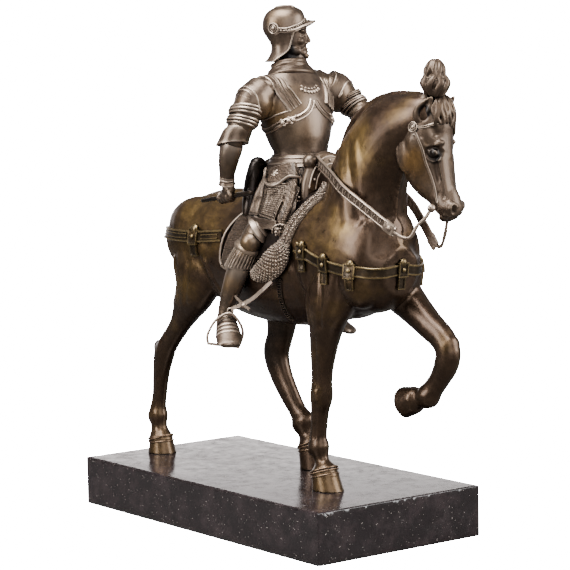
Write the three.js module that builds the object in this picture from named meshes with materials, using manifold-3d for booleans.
// Equestrian statuette: an armoured rider on a walking horse, cast in bronze, on a polished stone slab.
// Millimetres. +X is the horse's front, +Y its left and +Z up; the origin is under the middle of the slab.

import * as THREE from "three";
import { mergeVertices } from "three/addons/utils/BufferGeometryUtils.js";
import Module from "manifold-3d";

const wasm = await Module();
wasm.setup();

// Driving dimensions
const SLAB_LENGTH = 320;
const SLAB_WIDTH = 160;
const SLAB_HEIGHT = 40;
const SLAB_CHAMFER = 1.2;
const FIGURE_HEIGHT = 376; // from the slab's top to the top of the helmet
const CASTING_GAP = 0.3; // between two castings that were made apart
const BATON_RADIUS = 1.9;
const BATON_LENGTH = 68;
const REIN_WIDTH = 7.6;
const REIN_THICKNESS = 1.8;
const LINK_RADIUS = 1.3; // the bent wire of links, bit branches and stirrup leathers
const CRUPPER_WIDTH = 10;
const BREAST_STRAP_WIDTH = 8.4;
const STRAP_THICKNESS = 2;
const CLOTH_THICKNESS = 3.4;
const STIRRUP_WIDTH = 24;
const STIRRUP_BAR_RADIUS = 1.4;

// The figure's free forms are placed in hundredths of its height, measured from the middle of the slab's top.
const UNIT = FIGURE_HEIGHT / 100;
const SIDEWAYS = new THREE.Vector3(0, 1, 0);
const UPWARDS = new THREE.Vector3(0, 0, 1);
const HORSE_LEFT = 1;
const HORSE_RIGHT = -1;

const BRONZE = { color: 0x4a3a2c, roughness: 0.38, metalness: 0.85 };
const WORN_BRONZE = { color: 0x6b5636, roughness: 0.36, metalness: 0.85 };
const STONE = { color: 0x2b2324, roughness: 0.16, metalness: 0 };

// Solids

function point([x, y, z]) {
  return new THREE.Vector3(x * UNIT, y * UNIT, SLAB_HEIGHT + z * UNIT);
}

function solid(geometry) {
  const bare = geometry.clone();
  bare.deleteAttribute("normal");
  bare.deleteAttribute("uv");
  const merged = mergeVertices(bare, 1e-4);
  const vertProperties = Float32Array.from(merged.attributes.position.array);
  const triVerts = Uint32Array.from(merged.index.array);
  return new wasm.Manifold(new wasm.Mesh({ numProp: 3, vertProperties, triVerts }));
}

function join(solids) {
  return solids.reduce((whole, piece) => whole.add(piece));
}

function toGeometry(manifold) {
  const { vertProperties, triVerts } = manifold.getMesh();
  const geometry = new THREE.BufferGeometry();
  geometry.setAttribute("position", new THREE.BufferAttribute(Float32Array.from(vertProperties), 3));
  geometry.setIndex(Array.from(triVerts));
  return geometry;
}

// A form swept through rings of [x, y, z, half width, half depth], with its width turned towards `across`.
function loft(stations, { sides = 14, steps = 2, grow = 0, across = SIDEWAYS, start = 0 } = {}) {
  const middles = new THREE.CatmullRomCurve3(stations.map(point));
  const radii = new THREE.CatmullRomCurve3(
    stations.map(([, , , width, depth]) => new THREE.Vector3(width * UNIT, depth * UNIT, 0)),
  );
  const rings = (stations.length - 1) * steps;
  const positions = [];
  const faces = [];
  for (let ring = 0; ring <= rings; ring += 1) {
    const share = ring / rings;
    const middle = middles.getPoint(share);
    const radius = radii.getPoint(share);
    const along = middles.getTangent(share);
    const side = across.clone().addScaledVector(along, -across.dot(along)).normalize();
    const deep = along.clone().cross(side);
    for (let corner = 0; corner < sides; corner += 1) {
      const angle = start + (2 * Math.PI * corner) / sides;
      const spot = middle.clone();
      spot.addScaledVector(side, Math.cos(angle) * (radius.x + grow));
      spot.addScaledVector(deep, Math.sin(angle) * (radius.y + grow));
      positions.push(spot.x, spot.y, spot.z);
      const next = (corner + 1) % sides;
      if (ring > 0) {
        const [a, b] = [(ring - 1) * sides + corner, (ring - 1) * sides + next];
        const [c, d] = [ring * sides + next, ring * sides + corner];
        faces.push(a, b, c, a, c, d);
      }
    }
  }
  const ends = [middles.getPoint(0), middles.getPoint(1)];
  ends[0].addScaledVector(middles.getTangent(0), -grow);
  ends[1].addScaledVector(middles.getTangent(1), grow);
  const first = (rings + 1) * sides;
  ends.forEach((end) => positions.push(end.x, end.y, end.z));
  for (let corner = 0; corner < sides; corner += 1) {
    const next = (corner + 1) % sides;
    faces.push(first, next, corner, first + 1, rings * sides + corner, rings * sides + next);
  }
  const geometry = new THREE.BufferGeometry();
  geometry.setAttribute("position", new THREE.Float32BufferAttribute(positions, 3));
  geometry.setIndex(faces);
  return solid(geometry);
}

// An ellipsoid at [x, y, z] with half sizes [x, y, z], turned by `yaw` about Z and then tipped by `pitch`.
function ball(middle, [rx, ry, rz], { grow = 0, yaw = 0, pitch = 0, sides = 12 } = {}) {
  const geometry = new THREE.SphereGeometry(1, sides, Math.round(sides * 0.66));
  geometry.rotateX(Math.PI / 2);
  geometry.scale(rx * UNIT + grow, ry * UNIT + grow, rz * UNIT + grow);
  geometry.rotateY(pitch);
  geometry.rotateZ(yaw);
  const { x, y, z } = point(middle);
  return solid(geometry.translate(x, y, z));
}

// A round or flat bar along a curve through the given places, `width` and `thickness` in millimetres.
function bar(places, width, thickness = width, { sides = 8, steps = 12, closed = false } = {}) {
  const outline = new THREE.Shape();
  outline.absellipse(0, 0, thickness / 2, width / 2, 0, 2 * Math.PI);
  const path = new THREE.CatmullRomCurve3(places.map(point), closed);
  const options = { curveSegments: sides, steps, extrudePath: path, bevelEnabled: false };
  return solid(new THREE.ExtrudeGeometry(outline, options));
}

// A flat strap of the given width and thickness in millimetres, with its width turned towards `across`.
function strap(places, width, thickness, { grow = 0, across = UPWARDS, steps = 2 } = {}) {
  const [half, deep] = [width, thickness].map((size) => size / Math.SQRT2 / UNIT);
  const stations = places.map((spot) => [...spot, half, deep]);
  return loft(stations, { sides: 4, steps, grow: grow * Math.SQRT2, across, start: Math.PI / 4 });
}

// A block across the middle plane, cut to an outline of [x, z] seen from the side.
function sideBlock(outline, from = -16, to = 16) {
  const shape = new THREE.Shape(outline.map(([x, z]) => new THREE.Vector2(x * UNIT, z * UNIT)));
  const geometry = new THREE.ExtrudeGeometry(shape, { depth: (to - from) * UNIT, bevelEnabled: false });
  geometry.rotateX(Math.PI / 2);
  return solid(geometry.translate(0, to * UNIT, SLAB_HEIGHT));
}

function box(low, high) {
  const [a, b] = [point(low), point(high)];
  const size = b.clone().sub(a);
  const middle = a.clone().add(b).multiplyScalar(0.5);
  return solid(new THREE.BoxGeometry(size.x, size.y, size.z).translate(middle.x, middle.y, middle.z));
}

// Horse

const TRUNK = [
  [-31, 0, 49.4, 2.4, 3],
  [-29.6, 0, 48.9, 6.2, 6],
  [-26, 0, 49.2, 9, 8],
  [-20, 0, 49.3, 10.4, 10.4],
  [-12, 0, 48.9, 10.8, 12.3],
  [-4, 0, 47, 10.8, 13.5],
  [6, 0, 46.4, 11, 13.7],
  [16, 0, 47.2, 10.8, 14.2],
  [26, 0, 49, 10.4, 14],
  [34, 0, 48.4, 10, 12.8],
  [40, 0, 46.6, 8.4, 9.6],
  [43.4, 0, 46, 4.4, 5],
];
const NECK = [
  [28.4, 0, 43, 8.5, 11.6],
  [30.6, 0, 51.6, 8.8, 11.6],
  [32.6, 0, 59.4, 7.4, 10.1],
  [34.4, 0, 65, 6.5, 9.4],
  [37.6, 0, 70, 5.8, 8.4],
  [42, 0.2, 73.8, 5.1, 7],
  [49, 0.8, 76.2, 4.2, 4.9],
];
const MANE = [
  [25, 0, 67.6, 0.8, 1],
  [26.6, 0, 71, 0.9, 1.1],
  [29.6, 0, 75.2, 0.9, 1.2],
  [35.6, 0.1, 79, 0.9, 1.2],
  [42.5, 0.4, 80.4, 0.9, 1.2],
  [49.5, 1.4, 80.4, 0.7, 1],
];
const TAIL = [
  [-27, 0, 55, 1.6, 1.6],
  [-31, 0, 54.2, 1.6, 1.6],
  [-33, 0, 51.4, 1.7, 1.7],
  [-33.6, 0, 48, 2, 1.9],
  [-33.8, 0, 44, 1.5, 1.5],
  [-34, 0, 41.5, 0.7, 0.7],
];
const RIGHT_HIND = [
  [-18, -5.6, 50.5, 4.2, 9],
  [-17, -6.4, 44.5, 4.4, 8.8],
  [-18.8, -6.5, 39, 3.8, 6],
  [-22.4, -6.2, 34.6, 3, 4],
  [-26.4, -6, 30, 2.2, 2.6],
  [-31, -5.8, 25.8, 2, 2.7],
  [-33.4, -5.6, 22.6, 1.9, 2.7],
  [-34.9, -5.4, 18.4, 1.5, 1.9],
  [-36, -5.2, 13.8, 1.25, 1.55],
  [-36.7, -5.2, 10.8, 1.35, 1.6],
  [-36.9, -5.2, 8.6, 1.8, 2.2],
  [-36.6, -5.2, 5.8, 1.45, 1.6],
  [-36.2, -5.2, 3.7, 2.7, 2.8],
  [-35.9, -5.2, 2.6, 2.7, 2.9],
  [-35.6, -5.2, -0.6, 3.2, 3.6],
];
const LEFT_HIND = [
  [-17, 5.4, 50.5, 4.2, 9],
  [-12.5, 6.3, 44.5, 4.5, 8.6],
  [-8, 6.8, 38.5, 4.1, 6.6],
  [-5.4, 6.9, 32.6, 3.1, 4],
  [-6, 6.8, 28.2, 2.3, 2.9],
  [-7.6, 6.8, 24.4, 2, 3.1],
  [-6.2, 6.9, 20, 1.7, 2.4],
  [-3.4, 7.1, 15.6, 1.4, 1.8],
  [-0.4, 7.4, 11.8, 1.4, 1.7],
  [1.2, 7.6, 9.6, 1.8, 2.3],
  [3, 7.8, 7.6, 1.5, 1.7],
  [4, 7.9, 6.2, 2.6, 2.7],
  [4.5, 8, 5.2, 2.6, 2.8],
  [6.1, 8.2, 0.8, 2.9, 2.9],
];
const RIGHT_FORE = [
  [31, -5.4, 46, 4.2, 8],
  [28.4, -6.2, 39, 4, 6],
  [26.8, -6, 34.2, 3.2, 4.2],
  [25.4, -5.7, 29, 2.5, 3.2],
  [24.4, -5.4, 23.6, 2, 2.5],
  [23.9, -5.2, 19.6, 2.2, 2.7],
  [23.2, -5.1, 16.6, 1.6, 2],
  [22.7, -5, 13.4, 1.4, 1.7],
  [22.4, -5, 10.8, 1.4, 1.7],
  [22.5, -5, 8.6, 1.8, 2.2],
  [23.3, -5, 5.8, 1.3, 1.4],
  [24.2, -5, 3.9, 2.8, 2.8],
  [24.6, -5, 2.8, 2.8, 2.9],
  [25.7, -5, -0.6, 3.2, 3.6],
];
const LEFT_FORE = [
  [32, 5.4, 45.5, 4, 7],
  [36.4, 6, 41, 3.8, 4.6],
  [40.4, 6.2, 38, 3.3, 3.6],
  [45.2, 6, 35, 2.8, 3],
  [49, 6, 32.6, 2.5, 2.8],
  [50.6, 6, 30, 2.4, 2.8],
  [49.9, 6, 27.2, 1.9, 2.2],
  [48, 6, 24.4, 1.45, 1.7],
  [46.2, 5.8, 22.2, 1.45, 1.7],
  [45, 5.5, 20.7, 1.9, 2.2],
  [43, 5.3, 19.9, 1.4, 1.6],
  [41.8, 5.2, 19.6, 2.3, 2.4],
  [41, 5.1, 19.4, 2.4, 2.5],
  [38, 5, 18.6, 2.7, 2.9],
];
const HEAD_POLL = [52, 2.2, 80];
const HEAD_YAW = THREE.MathUtils.degToRad(18);
// forward of the poll, above it, half width, half depth
const HEAD = [
  [-2.2, 1.2, 1.8, 1.6],
  [-1.7, -0.8, 3.3, 3.6],
  [-1.4, -3.6, 4, 4.9],
  [-1.8, -6.2, 4.5, 5.2],
  [-2.1, -9.6, 4.4, 5.5],
  [-1.9, -12.8, 3.7, 5.4],
  [-0.7, -15.6, 3.1, 4.5],
  [1, -18, 2.8, 3.3],
  [2.2, -20.2, 2.9, 3.1],
  [3.2, -22.1, 2.9, 2.6],
  [3.3, -23.3, 2.2, 1.7],
  [3, -24.2, 1.1, 0.8],
];

// A place on the horse's head: forward of the poll, to its left and above it.
function onHead(forward, left, up) {
  const [x, y, z] = HEAD_POLL;
  const [along, aside] = [Math.cos(HEAD_YAW), Math.sin(HEAD_YAW)];
  return [x + forward * along - left * aside, y + forward * aside + left * along, z + up];
}

function horseHead(grow) {
  const across = new THREE.Vector3(-Math.sin(HEAD_YAW), Math.cos(HEAD_YAW), 0);
  const rings = HEAD.map(([forward, up, width, depth]) => [...onHead(forward, 0, up), width, depth]);
  const pieces = [loft(rings, { grow, across, sides: 10, steps: 1 })];
  for (const side of [HORSE_LEFT, HORSE_RIGHT]) {
    const turn = { grow, yaw: HEAD_YAW, sides: 5 };
    pieces.push(ball(onHead(-4, 2.4 * side, -10.6), [3.4, 1.9, 4.2], turn));
    pieces.push(ball(onHead(1.4, 3.2 * side, -8), [1.7, 1.4, 2.8], turn));
    pieces.push(ball(onHead(4.3, 1.8 * side, -20.8), [1.3, 1.1, 1.4], turn));
    const ear = [
      [...onHead(-1.6, 2.7 * side, -4.2), 0.9, 1],
      [...onHead(-0.8, 3.3 * side, -2.6), 1.4, 1.1],
      [...onHead(0.2, 3.6 * side, -1), 1.1, 0.8],
      [...onHead(1.6, 3.4 * side, 0.6), 0.15, 0.15],
    ];
    pieces.push(loft(ear, { grow, sides: 5, steps: 1, across }));
  }
  return pieces;
}

function horseBody(grow) {
  const muscle = { grow, sides: 6 };
  const pieces = [
    loft(TRUNK, { grow, sides: 14, steps: 1 }),
    loft(NECK, { grow, sides: 10, steps: 1 }),
    loft(RIGHT_HIND, { grow, sides: 7, steps: 1 }),
    loft(LEFT_HIND, { grow, sides: 7, steps: 1 }),
    loft(RIGHT_FORE, { grow, sides: 7, steps: 1 }),
    loft(LEFT_FORE, { grow, sides: 7, steps: 1 }),
    ball([-35, -5.8, 24.4], [1.5, 1.1, 1.7], { grow, sides: 6 }),
    ball([-10, 6.9, 23.2], [1.6, 1.1, 1.7], { grow, sides: 6 }),
    ball([38.6, -4.4, 44.5], [4.6, 4.4, 5.4], muscle),
    ball([39.6, 4.6, 45], [4.6, 4.4, 5.4], muscle),
    ...horseHead(grow),
  ];
  return join(pieces);
}

// Harness: straps, plates and drops are slices of the horse grown by their thickness.
const CRUPPER_LINE = [
  [-4.9, 51.3],
  [-12, 50.8],
  [-24, 50.4],
  [-36, 50.4],
];
const BREAST_LINE = [
  [23, 51],
  [27, 48.9],
  [32, 47],
  [38, 45.4],
  [46, 45],
];

// A band of the given width in millimetres that follows a line of [x, z] seen from the side.
function band(line, width) {
  const half = width / 2 / UNIT;
  const curve = new THREE.SplineCurve(line.map(([x, z]) => new THREE.Vector2(x, z)));
  const spots = curve.getPoints(5);
  const upper = spots.map(({ x, y }) => [x, y + half]);
  const lower = spots.map(({ x, y }) => [x, y - half]).reverse();
  return sideBlock([...lower, ...upper]);
}

function harness() {
  const strapShell = horseBody(STRAP_THICKNESS);
  const plateShell = horseBody(STRAP_THICKNESS * 1.6);
  const straps = [
    strapShell.intersect(band(CRUPPER_LINE, CRUPPER_WIDTH)),
    strapShell.intersect(band(BREAST_LINE, BREAST_STRAP_WIDTH)),
  ];
  for (const [x, z] of [[-13, 50.8]]) {
    straps.push(plateShell.intersect(box([x - 1.3, -16, z - 2.1], [x + 1.3, 16, z + 2.1])));
    straps.push(strapShell.intersect(box([x - 0.7, -16, z - 5.4], [x + 0.7, 16, z])));
  }
  for (const [x, z] of [[25.4, 49.7], [31, 47.3], [36.4, 45.7]]) {
    straps.push(plateShell.intersect(box([x - 1.2, -16, z - 1.7], [x + 1.2, 16, z + 1.7])));
    straps.push(strapShell.intersect(box([x - 0.6, -16, z - 4.6], [x + 0.6, 16, z])));
  }
  straps.push(plateShell.intersect(box([38, -1.3, 43.4], [48, 1.3, 46.8])));
  straps.push(strapShell.intersect(box([38, -0.7, 40.4], [48, 0.7, 46])));
  return straps;
}

function horse() {
  const pieces = [
    horseBody(0),
    loft(MANE, { sides: 5, steps: 1 }),
    loft(TAIL, { sides: 7, steps: 1 }),
    ball([-33.4, 0, 50.4], [2.3, 2.3, 1], { sides: 6 }),
    ...harness(),
  ];
  const ground = box([-60, -30, -10], [60, 30, 0]);
  return join(pieces).subtract(ground);
}

// Slab

function slab() {
  const [x, y] = [SLAB_LENGTH / 2, SLAB_WIDTH / 2];
  const rings = [
    [0, SLAB_CHAMFER],
    [SLAB_CHAMFER, 0],
    [SLAB_HEIGHT - SLAB_CHAMFER, 0],
    [SLAB_HEIGHT, SLAB_CHAMFER],
  ];
  const positions = [];
  const faces = [];
  rings.forEach(([z, inset], ring) => {
    for (const [sx, sy] of [[1, 1], [-1, 1], [-1, -1], [1, -1]]) {
      positions.push(sx * (x - inset), sy * (y - inset), z);
    }
    for (let corner = 0; ring > 0 && corner < 4; corner += 1) {
      const [a, b] = [(ring - 1) * 4 + corner, (ring - 1) * 4 + ((corner + 1) % 4)];
      faces.push(a, b, b + 4, a, b + 4, a + 4);
    }
  });
  const top = (rings.length - 1) * 4;
  faces.push(0, 2, 1, 0, 3, 2, top, top + 1, top + 2, top, top + 2, top + 3);
  const geometry = new THREE.BufferGeometry();
  geometry.setAttribute("position", new THREE.Float32BufferAttribute(positions, 3));
  geometry.setIndex(faces);
  return solid(geometry);
}

// Rider, saddle and saddle-cloth

const TORSO = [
  [11.2, 0, 64, 6.4, 5.4],
  [11.1, 0, 69.4, 5.7, 4.8],
  [10.9, 0, 71.6, 6.5, 5.3],
  [10.3, 0, 75.4, 7.9, 6.1],
  [9.7, 0, 79.2, 8.8, 6.2],
  [9.4, 0, 82.4, 9, 5.4],
  [9, 0, 84.8, 7.4, 4.2],
  [8.4, 0, 86.4, 4.2, 3.4],
  [8, 0, 87.6, 3, 3],
  [7.4, 0, 90.4, 2.5, 2.7],
];
const SKIRT = [
  [11, 0, 69, 5.8, 4.9],
  [10.6, 0, 66.6, 7.2, 6.4],
  [10.2, 0, 63.6, 9, 7.8],
  [10.4, 0, 60, 11, 8.6],
  [11, 0, 56, 12.4, 8.8],
  [11.4, 0, 53.4, 12.8, 8.6],
];
const RIGHT_ARM = [
  [9.6, -8.2, 82.4, 3.4, 3.6],
  [9.6, -11, 80.2, 3.3, 3.5],
  [8.8, -12.6, 76.4, 2.9, 3],
  [7.4, -14, 72.6, 2.2, 2.4],
  [6, -14.4, 69, 1.9, 2.1],
  [5, -14.3, 66, 1.6, 1.7],
  [4.2, -13.9, 63.4, 1.2, 1.3],
  [3.7, -13.4, 61.4, 1.1, 1.2],
];
const LEFT_ARM = [
  [11, 7.6, 82.8, 3.4, 3.4],
  [11.8, 10.4, 81, 3, 3.2],
  [13.6, 12, 79.2, 2.5, 2.7],
  [17, 13.2, 76.4, 2.2, 2.4],
  [19.6, 12, 73.4, 2, 2.1],
  [21.4, 9, 71, 1.7, 1.7],
  [21.4, 5.6, 69.2, 1.2, 1.2],
  [20.8, 3.6, 68.6, 1.1, 1.1],
];
const RIGHT_LEG = [
  [11.6, -6.6, 61, 4, 4.4],
  [10.8, -9.4, 56.4, 3.3, 3.6],
  [9.2, -11, 52, 2.8, 3],
  [5.8, -11.6, 46.6, 2.2, 2.6],
  [3.2, -12.1, 41, 1.9, 2.2],
  [2, -12.6, 36.2, 1.4, 1.6],
  [2, -12.7, 34.4, 1.6, 1.8],
];
const FOOT = [
  [-0.6, -11, 33.6, 1.2, 1.3],
  [2, -12.7, 33.4, 1.8, 2],
  [4.4, -14.3, 31.8, 2.2, 1.6],
  [6.6, -15.8, 30.2, 1.8, 1.1],
  [7.6, -16.5, 29.5, 0.6, 0.5],
];
const TOE_OUT_RIGHT = new THREE.Vector3(0.56, 0.83, 0);
const TOE_OUT_LEFT = new THREE.Vector3(-0.56, 0.83, 0);
const HELMET_MIDDLE = [6.4, 0, 95.2];
const HELMET_YAW = THREE.MathUtils.degToRad(44);
const CLOTH_OUTLINE = [
  [-4.6, 52],
  [-2.6, 45.6],
  [11, 43],
  [16.6, 43],
  [21, 49.6],
  [23.4, 55],
  [25, 61],
  [22.6, 66.4],
  [21, 70],
  [-4.6, 70],
];

// The same places on the rider's other side.
function mirrored(stations) {
  return stations.map(([x, y, ...rest]) => [x, -y, ...rest]);
}

// A place on the rider's head: forward of the middle of the helmet, to its left and above it.
function onHelmet(forward, left, up) {
  const [x, y, z] = HELMET_MIDDLE;
  const [along, aside] = [Math.cos(HELMET_YAW), Math.sin(HELMET_YAW)];
  return [x + forward * along - left * aside, y + forward * aside + left * along, z + up];
}

function riderHead() {
  const turn = { yaw: HELMET_YAW };
  const across = new THREE.Vector3(-Math.sin(HELMET_YAW), Math.cos(HELMET_YAW), 0);
  const comb = [];
  for (let step = 0; step <= 6; step += 1) {
    const angle = THREE.MathUtils.degToRad(20 + 150 * (step / 6));
    comb.push(onHelmet(4.5 * Math.cos(angle), 0, 4.7 * Math.sin(angle)));
  }
  const guard = [
    [...onHelmet(-1.2, 0, 0), 3.7, 3.4],
    [...onHelmet(-0.9, 0, -2.6), 3.1, 2.7],
    [...onHelmet(-0.7, 0, -5.2), 3, 2.4],
    [...onHelmet(-0.9, 0, -6.9), 3.6, 3.1],
  ];
  const peak = [
    [...onHelmet(2.4, 0, 1.6), 3, 0.5],
    [...onHelmet(4.6, 0, 1.9), 2.2, 0.4],
    [...onHelmet(6.2, 0, 1.5), 0.7, 0.25],
  ];
  const pieces = [
    ball(HELMET_MIDDLE, [4.7, 3.9, 4.7], { ...turn, sides: 10 }),
    loft(guard, { sides: 8, steps: 1, across }),
    loft(peak, { sides: 6, steps: 1, across }),
    bar(comb, 0.5 * UNIT, 1.1 * UNIT, { sides: 2, steps: 6 }),
    ball(onHelmet(1.5, 0, -2.4), [3.6, 2.8, 4.2], { ...turn, sides: 7 }),
    ball(onHelmet(5, 0, -2.2), [0.9, 0.5, 1.1], { ...turn, sides: 5 }),
    ball(onHelmet(4.1, 0, -5), [1.1, 1.1, 1.1], { ...turn, sides: 5 }),
  ];
  for (const side of [HORSE_LEFT, HORSE_RIGHT]) {
    pieces.push(ball(onHelmet(-1.2, 3.7 * side, 0.2), [1.1, 0.6, 1.1], { ...turn, sides: 6 }));
  }
  return pieces;
}

function hoopAround([x, y, z], [rx, ry], width, thickness) {
  const places = [];
  for (let step = 0; step < 10; step += 1) {
    const angle = (2 * Math.PI * step) / 10;
    places.push([x + rx * Math.cos(angle), y + ry * Math.sin(angle), z]);
  }
  return bar(places, width, thickness, { sides: 2, steps: 10, closed: true });
}

// One plate ring of a lame or cop, set square to the limb between two stations.
function plateRing(stations, index, overhang, length) {
  const [x, y, z, width, depth] = stations[index];
  const [nx, ny, nz] = stations[index + 1];
  const way = new THREE.Vector3(nx - x, ny - y, nz - z).normalize().multiplyScalar(length / 2);
  const ends = [HORSE_RIGHT, HORSE_LEFT].map((sign) => [
    x + sign * way.x,
    y + sign * way.y,
    z + sign * way.z,
    width + overhang,
    depth + overhang,
  ]);
  return loft(ends, { sides: 6, steps: 1 });
}

function arm(stations) {
  const [, pauldron, , elbow] = stations;
  const hand = stations[stations.length - 1];
  return [
    loft(stations, { sides: 6, steps: 1 }),
    ball(pauldron.slice(0, 3), [pauldron[3] + 0.7, pauldron[3] + 0.5, 3.6], { sides: 6 }),
    plateRing(stations, 2, 0.9, 0.9),
    ball([elbow[0] - 0.3, elbow[1] * 1.02, elbow[2]], [3, 2.7, 2.3], { sides: 6 }),
    plateRing(stations, 5, 0.3, 0.7),
    ball(hand.slice(0, 3), [1.9, 1.6, 1.9], { sides: 6 }),
  ];
}

function leg(stations, foot, across) {
  const knee = stations[2];
  return [
    loft(stations, { sides: 6, steps: 1 }),
    ball([knee[0] + 0.5, knee[1], knee[2]], [3.1, 2.9, 2.5], { sides: 6 }),
    ball([knee[0] - 0.6, knee[1] * 1.22, knee[2]], [1.9, 0.8, 1.9], { sides: 6 }),
    loft(foot, { sides: 6, steps: 1, across }),
  ];
}

// A plate that stands across the saddle: an arch with its top at `top`, from `back` to `front`.
function arch(back, front, top, halfWidth) {
  const height = 10;
  const stations = [
    [back, 0, top - height, halfWidth * 0.86, height * 0.9],
    [(back + front) / 2, 0, top - height, halfWidth, height],
    [front, 0, top - height, halfWidth * 0.9, height * 0.94],
  ];
  return loft(stations, { sides: 14, steps: 1 });
}

function saddle() {
  const seat = sideBlock([[1, 56], [20, 56], [20, 64], [11, 62], [1, 64]], -5.6, 5.6);
  return [seat, arch(-1.6, 2.4, 68.8, 8), arch(18.4, 21.2, 69.6, 6.6)];
}

function rider() {
  const cloth = horseBody(CLOTH_THICKNESS + CASTING_GAP).intersect(sideBlock(CLOTH_OUTLINE));
  const pieces = [
    loft(TORSO, { sides: 10, steps: 1 }),
    loft(SKIRT, { sides: 12, steps: 1 }),
    hoopAround([10.7, 0, 67.4], [6.3, 6.8], 1.4 * UNIT, 1.1 * UNIT),
    ...arm(RIGHT_ARM),
    ...arm(LEFT_ARM),
    ...leg(RIGHT_LEG, FOOT, TOE_OUT_RIGHT),
    ...leg(mirrored(RIGHT_LEG), mirrored(FOOT), TOE_OUT_LEFT),
    ...riderHead(),
    ...saddle(),
    cloth,
  ];
  const room = join([
    horseBody(CASTING_GAP),
    baton(CASTING_GAP),
    reinStrap(HORSE_RIGHT, CASTING_GAP),
    reinStrap(HORSE_LEFT, CASTING_GAP),
  ]);
  return join(pieces).subtract(room);
}

// Pieces made apart

function baton(grow) {
  const [x, y, z] = [2.9, -13.2, 60.2];
  const half = BATON_LENGTH / 2 / UNIT;
  const rise = 0.13; // the front end stands higher
  const radius = BATON_RADIUS / UNIT;
  const spot = (share) => [x + share * half, y, z + share * half * rise];
  const stations = [
    [...spot(-1), radius * 0.7, radius * 0.7],
    [...spot(-0.92), radius, radius],
    [...spot(0.92), radius, radius],
    [...spot(1), radius * 0.8, radius * 0.8],
  ];
  return loft(stations, { sides: 10, steps: 1, grow });
}

const REIN_RIGHT = [
  [20.8, -3, 67.8],
  [28.6, -6, 65.4],
  [35, -7.8, 62.5],
  [40, -7.6, 59.9],
  [44.6, -6.9, 57.2],
  [49, -6, 54.5],
];
const REIN_LEFT = [
  [20.8, 3.4, 68.2],
  [28, 6.6, 65],
  [33, 8.4, 61.5],
  [37.3, 8.4, 58.8],
  [41.6, 7.5, 55.4],
  [46.7, 6.5, 50.7],
];
const LINK_RIGHT = [
  [48.4, -6.2, 54.9],
  [50.2, -5.4, 53.6],
  [52, -4.6, 53.7],
  [53, -3.8, 55.6],
  [53.8, -2.7, 57.2],
  [54.8, -1.5, 58],
];
const LINK_LEFT = [
  [46.2, 6.6, 51.2],
  [48.4, 6.4, 51],
  [49.9, 6.2, 53.6],
  [50.7, 6.2, 56.2],
  [52, 6.8, 58],
];

function reinStrap(side, grow) {
  return strap(side === HORSE_RIGHT ? REIN_RIGHT : REIN_LEFT, REIN_WIDTH, REIN_THICKNESS, { grow, steps: 1 });
}

// A rein with the boss at its end, its bent link and the ball on the branch of the bit.
function rein(side) {
  const route = side === HORSE_RIGHT ? REIN_RIGHT : REIN_LEFT;
  const link = side === HORSE_RIGHT ? LINK_RIGHT : LINK_LEFT;
  const end = route[route.length - 1];
  const pieces = [
    reinStrap(side, 0),
    ball([end[0] - 0.8, end[1] + 0.1 * side, end[2] + 0.5], [1.1, 0.8, 1.1], { sides: 6 }),
    bar(link, 2 * LINK_RADIUS, 2 * LINK_RADIUS, { sides: 2, steps: 8 }),
    ball(link[link.length - 1], [0.9, 0.9, 0.9], { sides: 6 }),
  ];
  return join(pieces).subtract(horseBody(CASTING_GAP));
}

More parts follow.
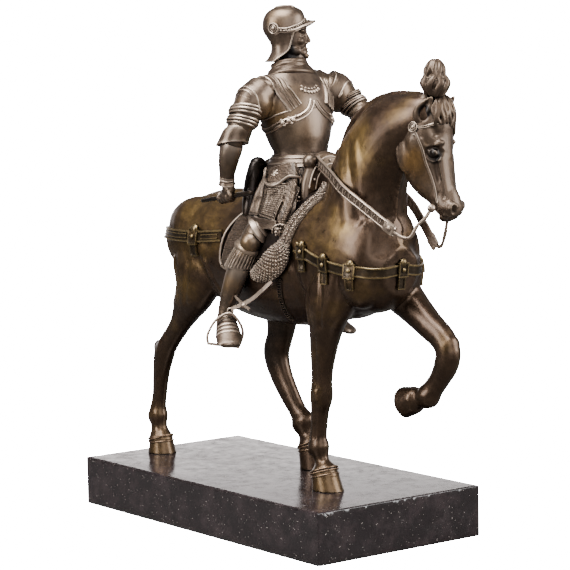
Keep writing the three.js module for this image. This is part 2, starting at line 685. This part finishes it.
function stirrup(side) {
  const across = side === HORSE_RIGHT ? TOE_OUT_RIGHT : TOE_OUT_LEFT;
  const middle = [3.2, 15, 29.2];
  const half = STIRRUP_WIDTH / 2 / UNIT;
  const spot = (share, rise) => [
    middle[0] + Math.abs(across.x) * share * half,
    side * (middle[1] - across.y * share * half),
    middle[2] + rise,
  ];
  const bow = [
    spot(-1, 0.2),
    spot(-1.02, 2.6),
    spot(-0.3, 5.6),
    spot(0.5, 6.7),
    spot(1.05, 4.6),
    spot(1.3, 2),
    spot(1, -0.6),
  ];
  const tread = [spot(-1.04, 0.3), spot(1.04, -0.7)];
  const leather = [
    spot(0.5, 6.4),
    [9.6, 12.5 * side, 38.8],
    [16, 11.4 * side, 42.4],
  ];
  const pieces = [
    bar(bow, 2 * STIRRUP_BAR_RADIUS, 2 * STIRRUP_BAR_RADIUS, { sides: 2, steps: 10 }),
    bar(tread, 1.6 * UNIT, 0.7 * UNIT, { sides: 2, steps: 1 }),
    bar(leather, 1 * UNIT, 0.5 * UNIT, { sides: 2, steps: 3 }),
    ball(spot(0.5, 6.8), [0.8, 0.8, 0.9], { sides: 6 }),
  ];
  const [shin, foot] = side === HORSE_RIGHT ? [RIGHT_LEG, FOOT] : [mirrored(RIGHT_LEG), mirrored(FOOT)];
  const room = [
    loft(foot, { sides: 6, steps: 1, across, grow: CASTING_GAP }),
    loft(shin, { sides: 6, steps: 1, grow: CASTING_GAP }),
    horseBody(CASTING_GAP),
  ];
  return join(pieces).subtract(join(room));
}

function forelockTuft() {
  const stations = [
    [52.8, 1.2, 79.6, 1.8, 1.8],
    [53, 1.2, 81, 2.4, 2.4],
    [53.2, 1.2, 82.8, 3, 2.9],
    [53.3, 1.1, 84.4, 2.3, 2.2],
    [53.4, 1, 86, 2.2, 2.1],
    [53.4, 1, 87.4, 1.7, 1.6],
    [53.4, 1, 88, 0.6, 0.6],
  ];
  return loft(stations, { sides: 8, steps: 1 }).subtract(horseBody(CASTING_GAP));
}

const statuette = new THREE.Group();

function place(name, manifold, finish) {
  const mesh = new THREE.Mesh(toGeometry(manifold), new THREE.MeshStandardMaterial(finish));
  mesh.name = name;
  statuette.add(mesh);
}

place("stone_slab", slab(), STONE);
place("horse", horse(), BRONZE);
place("rider_and_saddle", rider(), BRONZE);
place("baton", baton(0), WORN_BRONZE);
place("rein_right", rein(HORSE_RIGHT), BRONZE);
place("rein_left", rein(HORSE_LEFT), BRONZE);
place("stirrup_right", stirrup(HORSE_RIGHT), BRONZE);
place("stirrup_left", stirrup(HORSE_LEFT), BRONZE);
place("forelock_tuft", forelockTuft(), BRONZE);

export default statuette;
